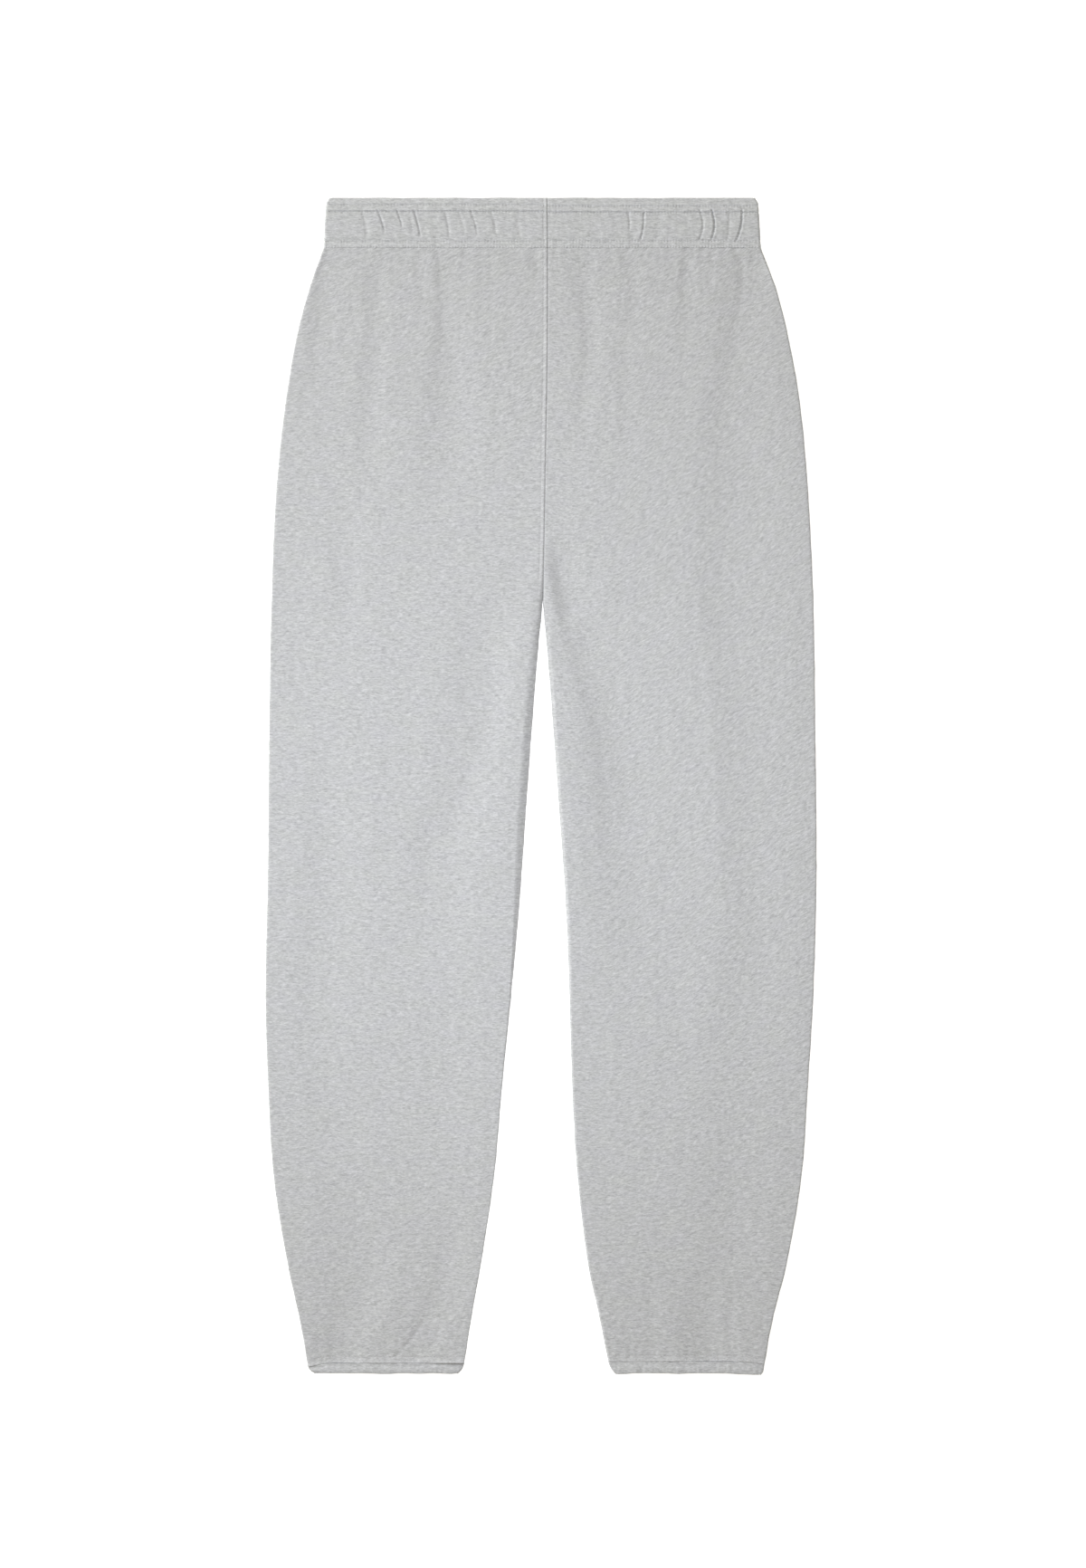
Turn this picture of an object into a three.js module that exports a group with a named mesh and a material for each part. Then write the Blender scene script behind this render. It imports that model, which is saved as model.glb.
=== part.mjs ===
// Jogger sweatpants in brushed fleece, laid flat with the back upwards. Sizes are in millimetres.
// +Y runs from the hems to the waist, +X to the right as seen from above, and the front lies on Z = 0.
import * as THREE from "three";

// Driving sizes
const garmentLength = 1040; // waist edge to hem edge
const bandHeight = 44; // waistband, top fold to seam
const hemHeight = 10; // rolled hem at each ankle
const clothThickness = 2.2; // fleece, brushed inside
const bandThickness = 3.9; // two layers of fleece round an elastic
const hemThickness = 3.1; // turned cloth round a narrow elastic
const tubeHollow = 0.6; // between the front and back of a waistband or hem
const seamGap = 0.3;

const topY = garmentLength / 2;
const waistY = topY - bandHeight;
const ankleY = hemHeight - topY;
const crotchY = 164;
const crotchBlend = 30; // height over which the centre seams dip to meet the inseams
const edgeFade = 18; // folds fade out over this width beside a turned edge
const waistFade = { reach: 16, least: 0.6 }; // folds shallow to this share at the waist seam
const allowance = { width: 5, lift: 0.5 }; // seam allowance pressed left along the centre back

// Edges of the cloth as it lies, from waist to ankle
const sideSeams = [
  { y: 476, left: -192.7, right: 194.7 },
  { y: 440, left: -205.4, right: 208.2 },
  { y: 400, left: -216.0, right: 218.5 },
  { y: 340, left: -226.3, right: 229.2 },
  { y: 263, left: -234.4, right: 236.4 },
  { y: 164, left: -238.8, right: 241.2 },
  { y: 50, left: -240.8, right: 243.0 },
  { y: -80, left: -242.0, right: 244.0 },
  { y: -185, left: -244.0, right: 241.2 },
  { y: -265, left: -241.6, right: 236.4 },
  { y: -345, left: -236.8, right: 230.8 },
  { y: -425, left: -224.0, right: 217.2 },
  { y: -465, left: -215.2, right: 206.8 },
  { y: -510, left: -206.4, right: 198.0 },
];
const inseams = [
  { y: 164, left: 1.6, right: 1.6 },
  { y: 95, left: -4.6, right: 7.4 },
  { y: -25, left: -13.4, right: 16.2 },
  { y: -105, left: -19.0, right: 21.8 },
  { y: -185, left: -26.2, right: 25.0 },
  { y: -265, left: -34.2, right: 27.4 },
  { y: -345, left: -41.4, right: 32.2 },
  { y: -425, left: -53.4, right: 41.8 },
  { y: -465, left: -60.6, right: 50.6 },
  { y: -510, left: -67.8, right: 59.4 },
];
const centreSeam = [
  { y: 520, x: 5.2 },
  { y: 476, x: 5.8 },
  { y: 380, x: 5.0 },
  { y: 280, x: 3.0 },
  { y: 164, x: 1.6 },
];
// Ends of the waistband and of each hem, across the garment
const bandEdges = [
  { y: 520, left: -190.2, right: 192.2 },
  { y: 476, left: -192.7, right: 194.7 },
];
const hemEdges = [
  { y: -510, left: { outer: -206.4, inner: -67.8 }, right: { outer: 198.0, inner: 59.4 } },
  { y: -520, left: { outer: -203.2, inner: -70.6 }, right: { outer: 196.4, inner: 62.0 } },
];
const bandCorner = 5; // radius of the corners at the waist
const hemCorner = { left: { outer: 5, inner: 5 }, right: { outer: 3, inner: 7 } };

// Radius of a folded edge, which is half the height of the laid garment
const edgeRolls = [
  { y: 476, radius: 4.15 },
  { y: 430, radius: 3.5 },
  { y: 330, radius: 3.4 },
  { y: -510, radius: 3.4 },
];

// Soft troughs and ridges of the back: a line from 1 to 2, its half width, run-out at the ends and depth
const folds = [
  { x1: -91, y1: 476, x2: -90, y2: 345, halfWidth: 15, runOut: 50, lift: -1.5 },
  { x1: -149, y1: 476, x2: -149, y2: 395, halfWidth: 14, runOut: 40, lift: -1.0 },
  { x1: 34, y1: 476, x2: 31, y2: 345, halfWidth: 14, runOut: 45, lift: -1.3 },
  { x1: 130, y1: 476, x2: 127, y2: 425, halfWidth: 13, runOut: 35, lift: -1.1 },
  { x1: 176, y1: 476, x2: 158, y2: 343, halfWidth: 15, runOut: 20, lift: -1.5 },
  { x1: 158, y1: 343, x2: 154, y2: 135, halfWidth: 18, runOut: 20, lift: -1.2 },
  { x1: 154, y1: 135, x2: 161, y2: -170, halfWidth: 20, runOut: 60, lift: -0.8 },
  { x1: 6, y1: 218, x2: 34, y2: 111, halfWidth: 15, runOut: 26, lift: -1.7 },
  { x1: 34, y1: 111, x2: 54, y2: 10, halfWidth: 16, runOut: 18, lift: -1.5 },
  { x1: 54, y1: 10, x2: 58, y2: -80, halfWidth: 17, runOut: 50, lift: -0.7 },
  { x1: -102, y1: 135, x2: -104, y2: -105, halfWidth: 32, runOut: 70, lift: -0.6 },
  { x1: -190, y1: -385, x2: -192, y2: -508, halfWidth: 15, runOut: 50, lift: -1.2 },
  { x1: -100, y1: -400, x2: -116, y2: -508, halfWidth: 14, runOut: 45, lift: -1.0 },
  { x1: 124, y1: -440, x2: 127, y2: -508, halfWidth: 13, runOut: 45, lift: -1.4 },
  { x1: 152, y1: -410, x2: 146, y2: -508, halfWidth: 13, runOut: 45, lift: -1.1 },
  { x1: 90, y1: -430, x2: 93, y2: -508, halfWidth: 13, runOut: 40, lift: -0.8 },
  { x1: -35, y1: 130, x2: -43, y2: -60, halfWidth: 24, runOut: 60, lift: 1.2 },
  { x1: -158, y1: 235, x2: -158, y2: -20, halfWidth: 38, runOut: 80, lift: 0.9 },
  { x1: 105, y1: 200, x2: 108, y2: -40, halfWidth: 36, runOut: 70, lift: 0.8 },
  { x1: 206, y1: 200, x2: 206, y2: -100, halfWidth: 26, runOut: 70, lift: 0.6 },
  { x1: -150, y1: -330, x2: -152, y2: -480, halfWidth: 26, runOut: 60, lift: 0.8 },
];

// Gathers of the waistband: a crease from its top at x1 to its foot at x2, bowed sideways between
const bandGathers = [
  { x1: -160, x2: -156, bow: 0, halfWidth: 4.5, depth: 0.5 },
  { x1: -144, x2: -137, bow: 1, halfWidth: 3.5, depth: 0.9 },
  { x1: -127, x2: -121, bow: 1, halfWidth: 3.5, depth: 0.8 },
  { x1: -112, x2: -106, bow: 0, halfWidth: 3.5, depth: 1.0 },
  { x1: -97, x2: -93, bow: 1, halfWidth: 5, depth: 0.5 },
  { x1: -83, x2: -80, bow: 1, halfWidth: 4, depth: 0.4 },
  { x1: -73, x2: -67, bow: 1, halfWidth: 4, depth: 0.4 },
  { x1: -62, x2: -56, bow: 1, halfWidth: 4, depth: 0.6 },
  { x1: -44, x2: -39, bow: 1, halfWidth: 4, depth: 0.6 },
  { x1: -22, x2: -18, bow: 0, halfWidth: 4, depth: 0.4 },
  { x1: 77, x2: 75, bow: 3, halfWidth: 3.5, depth: 0.6 },
  { x1: 91, x2: 88, bow: 2, halfWidth: 3.5, depth: 0.9 },
  { x1: 104, x2: 103, bow: 0, halfWidth: 5, depth: 0.4 },
  { x1: 141, x2: 140, bow: 4, halfWidth: 3.2, depth: 0.7 },
  { x1: 151, x2: 150, bow: 4, halfWidth: 3.2, depth: 1.1 },
  { x1: 166, x2: 165, bow: 1, halfWidth: 3.5, depth: 0.7 },
  { x1: 178, x2: 173.5, bow: 3, halfWidth: 3.2, depth: 1.1 },
];
const channel = { foot: 6.8, head: 38 }; // heights on the waistband between which a gather runs

// Sections of a casing, from its seam to its fold: height above the seam, rise of the upper outside, draw-in
// of the whole wall at the fold, and how far its gathers show. The low places are lines of stitching.
const bandSection = [
  { height: 0.15, rise: -0.5, drawIn: 0, gathered: 0.1 },
  { height: 1.6, rise: -0.6, drawIn: 0, gathered: 0.1 },
  { height: 4.2, rise: -0.1, drawIn: 0, gathered: 0.2 },
  { height: 6.8, rise: -0.6, drawIn: 0, gathered: 0.2 },
  { height: 11, rise: 0.1, drawIn: 0, gathered: 0.8 },
  { height: 20, rise: 0.4, drawIn: 0, gathered: 1 },
  { height: 28.5, rise: 0.1, drawIn: 0, gathered: 0.9 },
  { height: 32.4, rise: -0.6, drawIn: 0, gathered: 0.3 },
  { height: 35.2, rise: -0.1, drawIn: 0, gathered: 0.3 },
  { height: 38, rise: -0.6, drawIn: 0, gathered: 0.2 },
  { height: 41.4, rise: -0.2, drawIn: 0.15, gathered: 0.1 },
  { height: 43.3, rise: -0.1, drawIn: 0.8, gathered: 0 },
  { height: 44, rise: 0, drawIn: 1.5, gathered: 0 },
];
const hemSection = [
  { height: 0.15, rise: -0.6, drawIn: 0, gathered: 0.4 },
  { height: 2.6, rise: 0.1, drawIn: 0, gathered: 1 },
  { height: 6.4, rise: 0.1, drawIn: 0.1, gathered: 0.9 },
  { height: 9.2, rise: -0.1, drawIn: 0.6, gathered: 0.4 },
  { height: 10, rise: 0, drawIn: 1.2, gathered: 0.2 },
];
const hemWaves = { count: 7, depth: 0.4, stretch: 0.3 }; // gathers across one hem, unevenly spaced

// Mesh steps
const legStretches = [
  { end: 452, steps: 3 },
  { end: 224, steps: 6 },
  { end: 128, steps: 7 },
  { end: -380, steps: 11 },
  { end: ankleY + seamGap / 2, steps: 8 },
];
const backSpans = 16; // columns between the rolled edges of a back panel
const frontSpans = 4;
const rollSteps = 3; // facets in a quarter turn
const underSpans = 4; // of a casing's flat underside
const hemSpans = 28;

const sideName = (side) => (side < 0 ? "left" : "right"); // side is -1 or 1
const mix = (a, b, t) => a + (b - a) * t;
const smooth = (t) => THREE.MathUtils.smoothstep(t, 0, 1);
const hump = (t) => (t < 1 ? 0.5 + 0.5 * Math.cos(Math.PI * t) : 0);
const range = (count) => [...Array(count).keys()];

// The value of a table's column at y, on a smooth curve through its rows
function follow(table, column, y) {
  const last = table.length - 1;
  const below = table.findIndex((row) => row.y < y);
  const i = THREE.MathUtils.clamp((below < 0 ? last : below) - 1, 0, last - 1);
  const [a, b] = [table[i], table[i + 1]];
  const slope = (j) => {
    const [before, after] = [table[Math.max(j - 1, 0)], table[Math.min(j + 1, last)]];
    return (after[column] - before[column]) / (after.y - before.y);
  };
  const run = b.y - a.y;
  const t = THREE.MathUtils.clamp((y - a.y) / run, 0, 1);
  const keep = (1 + 2 * t) * (1 - t) ** 2;
  const bendA = slope(i) * run * t * (1 - t) ** 2;
  const bendB = slope(i + 1) * run * t ** 2 * (t - 1);
  return keep * a[column] + (1 - keep) * b[column] + bendA + bendB;
}

// How far one fold lifts or lowers the cloth at (x, y)
function foldLift(fold, x, y) {
  const [dx, dy] = [fold.x2 - fold.x1, fold.y2 - fold.y1];
  const length = Math.hypot(dx, dy);
  const along = ((x - fold.x1) * dx + (y - fold.y1) * dy) / length;
  const off = ((x - fold.x1) * dy - (y - fold.y1) * dx) / length;
  const past = Math.max(-along, along - length, 0);
  return fold.lift * hump(Math.hypot(off / fold.halfWidth, past / fold.runOut));
}

// Lift of the back at (x, y): the deepest trough there and the highest ridge there
function backLift(x, y) {
  const lifts = folds.map((fold) => foldLift(fold, x, y));
  return Math.min(0, ...lifts) + Math.max(0, ...lifts);
}

// Edges of one leg at y; turn is 1 where the inner edge is folded and 0 where it butts at the centre
function legEdges(side, y) {
  const seam = y > crotchY ? follow(centreSeam, "x", y) : follow(inseams, sideName(side), y);
  return {
    inner: seam + (side * seamGap) / 2,
    outer: follow(sideSeams, sideName(side), y),
    roll: follow(edgeRolls, "radius", y),
    turn: 1 - smooth((y - crotchY) / crotchBlend),
  };
}

// Columns of a leg panel from its inner to its outer edge, some at given distances from the inner edge
function legColumns(spans, offsets) {
  const quarters = range(rollSteps + 1).map((i) => i / rollSteps);
  const shares = range(spans - 1).map((i) => (i + 1) / spans);
  return [
    ...quarters.toReversed().map((quarter) => ({ edge: "inner", quarter })),
    ...offsets.map((offset) => ({ offset })),
    ...shares.map((share) => ({ share })),
    ...quarters.map((quarter) => ({ edge: "outer", quarter })),
  ];
}

// Where a panel's face lies at one column, at a depth below the outside: its x, and how far it has turned
function legPlace(side, y, column, depth, endGap) {
  const { inner, outer, roll, turn } = legEdges(side, y);
  if (column.offset) return { x: inner + side * column.offset, drop: 0 };
  if (column.share) return { x: mix(inner + side * roll, outer - side * roll, column.share), drop: 0 };
  const angle = (column.quarter * Math.PI) / 2;
  const bend = column.edge === "inner" ? turn : 1;
  const inset = roll - (roll - depth * bend) * Math.sin(angle);
  return {
    x: column.edge === "inner" ? inner + side * inset : outer - side * inset,
    drop: bend * (roll - depth - endGap) * (1 - Math.cos(angle)),
  };
}

// Height of the back's outside at (x, y) of one leg, before it turns down at the edges
function backHeight(side, x, y) {
  const { inner, outer, roll, turn } = legEdges(side, y);
  const fromInner = side * (x - inner);
  const fromOuter = side * (outer - x);
  const fade = smooth((fromOuter - roll) / edgeFade) * mix(1, smooth((fromInner - roll) / edgeFade), turn);
  const nearWaist = mix(waistFade.least, 1, smooth((waistY - y) / waistFade.reach));
  const onAllowance = side < 0 && fromInner < allowance.width;
  const pressed = onAllowance ? allowance.lift * (1 - turn) : 0;
  return 2 * roll + backLift(x, y) * fade * nearWaist + pressed;
}

// Closed solid between an outer and an inner grid of points; in a ringed one each row closes on itself
function wallSolid(outer, inner, ringed = false) {
  const [rows, columns] = [outer.length, outer[0].length];
  const spans = ringed ? columns : columns - 1;
  const out = (r, c) => r * columns + (c % columns);
  const inn = (r, c) => rows * columns + out(r, c);
  const faces = [];
  const quad = (a, b, c, d) => faces.push(a, b, c, a, c, d);
  for (let r = 0; r < rows - 1; r++) {
    for (let c = 0; c < spans; c++) {
      quad(out(r, c), out(r + 1, c), out(r + 1, c + 1), out(r, c + 1));
      quad(inn(r, c), inn(r, c + 1), inn(r + 1, c + 1), inn(r + 1, c));
    }
    if (ringed) continue;
    quad(out(r, 0), inn(r, 0), inn(r + 1, 0), out(r + 1, 0));
    quad(out(r, spans), out(r + 1, spans), inn(r + 1, spans), inn(r, spans));
  }
  for (let c = 0; c < spans; c++) {
    quad(out(0, c), out(0, c + 1), inn(0, c + 1), inn(0, c));
    quad(out(rows - 1, c), inn(rows - 1, c), inn(rows - 1, c + 1), out(rows - 1, c + 1));
  }
  const geometry = new THREE.BufferGeometry().setFromPoints([...outer.flat(), ...inner.flat()]);
  geometry.setIndex(faces);
  geometry.computeVertexNormals();
  return geometry;
}

function legRows() {
  const places = [waistY - seamGap / 2];
  for (const { end, steps } of legStretches) {
    const start = places.at(-1);
    places.push(...range(steps).map((i) => mix(start, end, (i + 1) / steps)));
  }
  return places;
}

// Back panel of one leg: it lies over the front and turns down to it at the seams
function backPanel(side) {
  const columns = legColumns(backSpans, side < 0 ? [allowance.width - 0.5, allowance.width + 0.7] : []);
  if (side < 0) columns.reverse();
  const face = (depth) =>
    legRows().map((y) =>
      columns.map((column) => {
        const { x, drop } = legPlace(side, y, column, depth, 0);
        const top = backHeight(side, legPlace(side, y, column, 0, 0).x, y);
        return new THREE.Vector3(x, y, top - depth - drop);
      }),
    );
  return wallSolid(face(0), face(clothThickness));
}

// Front panel of one leg: flat on the surface, turned up at the seams
function frontPanel(side) {
  const columns = legColumns(frontSpans, []);
  if (side > 0) columns.reverse();
  const rows = legRows().filter((y, i, all) => i % 2 === 0 || i === all.length - 1);
  const face = (depth) =>
    rows.map((y) =>
      columns.map((column) => {
        const { x, drop } = legPlace(side, y, column, depth, seamGap);
        return new THREE.Vector3(x, y, depth + drop);
      }),
    );
  return wallSolid(face(0), face(clothThickness));
}

// Places of a flattened tube's fold, in order round it from an angle, and of its flat underside
const foldPlaces = (x, fromAngle) =>
  range(2 * rollSteps - 1).map((i) => {
    const angle = fromAngle - ((i + 1) * Math.PI) / (2 * rollSteps);
    return { x, outX: Math.cos(angle), outZ: Math.sin(angle) };
  });
const underPlaces = (left, right) =>
  range(underSpans + 1).map((i) => ({ x: mix(right, left, i / underSpans), outX: 0, outZ: -1 }));

// The wall of a casing, a flattened tube. Each place round it has the x of the tube's flat part, the outward
// direction from there and the dip of a gather.
function casingWall(section, placesAt, yAt, thickness, ringed) {
  const halfHeight = thickness + tubeHollow / 2;
  const rows = section.toSorted((a, b) => yAt(b) - yAt(a));
  const face = (depthAt, raised) =>
    rows.map((row) =>
      placesAt(row).map(({ x, outX, outZ, dip = 0 }) => {
        const rise = (row.rise * (1 + outZ)) / 2 - dip * row.gathered;
        const radius = halfHeight - depthAt(row) + (raised ? rise : 0);
        return new THREE.Vector3(x + outX * radius, yAt(row), halfHeight + outZ * radius);
      }),
    );
  const outside = face((row) => row.drawIn, true);
  const inside = face((row) => thickness - row.drawIn, false);
  return wallSolid(outside, inside, ringed);
}

// How far a rounded corner has drawn in at a distance from the end of the cloth
const cornerInset = (radius, toEnd) =>
  toEnd < radius ? radius - Math.sqrt(radius ** 2 - (radius - toEnd) ** 2) : 0;

// Half of the waistband, from centre front round the side to centre back
function bandHalf(side) {
  const halfHeight = bandThickness + tubeHollow / 2;
  const creases = bandGathers.filter(({ x1 }) => Math.sign(x1) === side);
  const placesAt = (row) => {
    const y = waistY + row.height;
    const seam = follow(centreSeam, "x", y) + (side * seamGap) / 2;
    const inset = halfHeight + cornerInset(bandCorner, topY - y);
    const edge = follow(bandEdges, sideName(side), y) - side * inset;
    const [left, right] = side < 0 ? [edge, seam] : [seam, edge];
    const share = THREE.MathUtils.clamp((row.height - channel.foot) / (channel.head - channel.foot), 0, 1);
    const gathers = creases.flatMap(({ x1, x2, bow, halfWidth, depth }) => {
      const x = mix(x2, x1, share) + bow * Math.sin(Math.PI * share);
      return [{ x: x - halfWidth }, { x, dip: depth }, { x: x + halfWidth }];
    });
    const over = [{ x: left }, ...gathers, { x: right }].map((place) => ({ ...place, outX: 0, outZ: 1 }));
    const under = underPlaces(left, right);
    return side < 0
      ? [...under, ...foldPlaces(left, -Math.PI / 2), ...over]
      : [...over, ...foldPlaces(right, Math.PI / 2), ...under];
  };
  return casingWall(bandSection, placesAt, (row) => waistY + row.height, bandThickness, false);
}

// Elastic hem of one leg, a closed flattened ring
function hemRing(side) {
  const halfHeight = hemThickness + tubeHollow / 2;
  const [atSeam, atFold] = hemEdges.map((row) => row[sideName(side)]);
  const corner = hemCorner[sideName(side)];
  const placesAt = (row) => {
    const share = row.height / hemHeight;
    const toEnd = hemHeight - row.height;
    const outer = mix(atSeam.outer, atFold.outer, share) - side * cornerInset(corner.outer, toEnd);
    const inner = mix(atSeam.inner, atFold.inner, share) + side * cornerInset(corner.inner, toEnd);
    const left = Math.min(outer, inner) + halfHeight;
    const right = Math.max(outer, inner) - halfHeight;
    const over = range(hemSpans + 1).map((i) => {
      const across = i / hemSpans;
      const wave = hemWaves.count * (across + side * hemWaves.stretch * across * (1 - across));
      const dip = (hemWaves.depth * (1 - Math.cos(2 * Math.PI * wave))) / 2;
      return { x: mix(left, right, across), outX: 0, outZ: 1, dip };
    });
    const leftFold = foldPlaces(left, -Math.PI / 2);
    const rightFold = foldPlaces(right, Math.PI / 2);
    return [...underPlaces(left, right), ...leftFold, ...over, ...rightFold];
  };
  return casingWall(hemSection, placesAt, (row) => ankleY - row.height, hemThickness, true);
}

const fleece = new THREE.MeshStandardMaterial({ color: 0xc6c7c7, roughness: 0.95, metalness: 0 });
const casingFleece = new THREE.MeshStandardMaterial({ color: 0xc1c2c2, roughness: 0.95, metalness: 0 });

const sweatpants = new THREE.Group();
function add(name, geometry, material) {
  const mesh = new THREE.Mesh(geometry, material);
  mesh.name = name;
  sweatpants.add(mesh);
}

for (const side of [-1, 1]) {
  add(`back_${sideName(side)}_leg`, backPanel(side), fleece);
  add(`front_${sideName(side)}_leg`, frontPanel(side), fleece);
  add(`waistband_${sideName(side)}`, bandHalf(side), casingFleece);
  add(`hem_${sideName(side)}`, hemRing(side), casingFleece);
}

export default sweatpants;
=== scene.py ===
import math
import bmesh
import bpy
import numpy as np
from mathutils import Matrix, Vector, noise


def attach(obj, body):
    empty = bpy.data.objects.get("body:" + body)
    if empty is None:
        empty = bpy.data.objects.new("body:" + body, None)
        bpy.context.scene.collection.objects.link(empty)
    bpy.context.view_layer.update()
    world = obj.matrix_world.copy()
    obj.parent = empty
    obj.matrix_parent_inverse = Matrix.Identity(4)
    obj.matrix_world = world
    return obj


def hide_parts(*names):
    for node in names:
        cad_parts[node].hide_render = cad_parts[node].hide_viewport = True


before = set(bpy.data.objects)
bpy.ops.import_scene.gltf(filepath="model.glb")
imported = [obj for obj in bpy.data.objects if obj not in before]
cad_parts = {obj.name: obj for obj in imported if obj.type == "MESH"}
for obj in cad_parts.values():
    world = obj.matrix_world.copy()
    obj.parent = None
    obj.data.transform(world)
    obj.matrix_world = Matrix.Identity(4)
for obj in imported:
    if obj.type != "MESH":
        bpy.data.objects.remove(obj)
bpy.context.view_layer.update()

mm = 0.001

# the garment as it lies, all in mm: +Y to the waist, +X to the right, front on Z = 0
cut = {
    "topY": 520.6, "waistY": 476, "ankleY": -510, "crotchY": 164,
    "crotchBlend": 30,  # the centre seams dip to the inseams over this height
    "seamGap": 0.1, "buttGap": 0.02,  # at the centre seams, at the waist and ankle seams
    "edgeFade": 3,  # folds fade out over this width beside the side seam
    # and over this width beside the inseam, y by y
    "innerFade": {
        -1: [(476, 12), (164, 9), (130, 4), (-60, 1.5), (-180, 0.5), (-510, 0.2)],
        1: [(476, 12), (164, 7), (130, 2), (-510, 1.5)],
    },
    "edgeWaver": 0.35,  # unevenness of the folded edges
    # how wide a folded edge is for its height, on the casings and at the side seams
    "squeeze": 0.45, "outerSqueeze": 0.4,
}
sideSeam = {
    -1: [(476, -192.7), (440, -205.4), (400, -216.0), (340, -226.3), (263, -234.4), (164, -238.8),
         (50, -240.8), (-80, -242.0), (-185, -244.0), (-265, -241.6), (-345, -236.8), (-425, -224.0),
         (-465, -215.2), (-510, -206.4)],
    1: [(476, 194.7), (440, 208.2), (400, 218.5), (340, 229.2), (263, 236.4), (164, 241.2),
        (50, 243.0), (-80, 244.0), (-185, 241.2), (-265, 236.4), (-345, 230.8), (-425, 217.2),
        (-465, 206.8), (-510, 198.0)],
}
inseam = {
    -1: [(164, 1.6), (95, -4.6), (-25, -13.4), (-105, -19.0), (-185, -26.2), (-265, -34.2),
         (-345, -41.4), (-425, -53.4), (-465, -60.6), (-510, -67.8)],
    1: [(164, 1.6), (95, 7.4), (-25, 16.2), (-105, 21.8), (-185, 25.0), (-265, 27.4),
        (-345, 32.2), (-425, 41.8), (-465, 50.6), (-510, 59.4)],
}
centreSeam = [(520, 5.8), (476, 6.2), (380, 6.0), (280, 4.2), (220, 3.2), (164, 1.6)]
# how wide the inseam's roll is for its height, left and right leg
innerSqueeze = {
    -1: [(476, 0.6), (230, 0.6), (164, 1.1), (120, 1.4), (62, 1.9), (0, 1.9), (-57, 1.7), (-115, 1.2),
         (-180, 0.4), (-260, 0.2), (-510, 0.2)],
    1: [(476, 0.6), (-510, 0.6)],
}
edgeRoll = [(476, 4.15), (430, 3.5), (330, 3.4), (-510, 3.4)]  # radius of the folded edge


def follow(points, y):  # smooth value at y through (y, value) points, listed from the waist down
    ys = np.array([p[0] for p in points], float)[::-1]
    values = np.array([p[1] for p in points], float)[::-1]
    slopes = np.empty_like(values)
    slopes[1:-1] = (values[2:] - values[:-2]) / (ys[2:] - ys[:-2])
    slopes[0] = (values[1] - values[0]) / (ys[1] - ys[0])
    slopes[-1] = (values[-1] - values[-2]) / (ys[-1] - ys[-2])
    y = np.clip(y, ys[0], ys[-1])
    i = np.clip(np.searchsorted(ys, y) - 1, 0, len(ys) - 2)
    run = ys[i + 1] - ys[i]
    t = (y - ys[i]) / run
    keep = (1 + 2 * t) * (1 - t) ** 2
    bend = slopes[i] * run * t * (1 - t) ** 2 + slopes[i + 1] * run * t ** 2 * (t - 1)
    return keep * values[i] + (1 - keep) * values[i + 1] + bend


def smooth(t):
    t = np.clip(t, 0, 1)
    return t * t * (3 - 2 * t)


def hump(t):  # 1 at 0, soft down to 0 at 1
    return np.where(t < 1, 0.5 + 0.5 * np.cos(np.pi * np.clip(t, 0, 1)), 0)


def bell(t):
    return np.exp(-t * t)


def cloud(x, y, seed):  # soft noise about 0; x and y come in units of its grain
    x, y = np.broadcast_arrays(np.asarray(x, float), np.asarray(y, float))
    values = [noise.noise(Vector((a, b, seed))) for a, b in zip(x.ravel(), y.ravel())]
    return np.array(values).reshape(x.shape)


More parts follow.
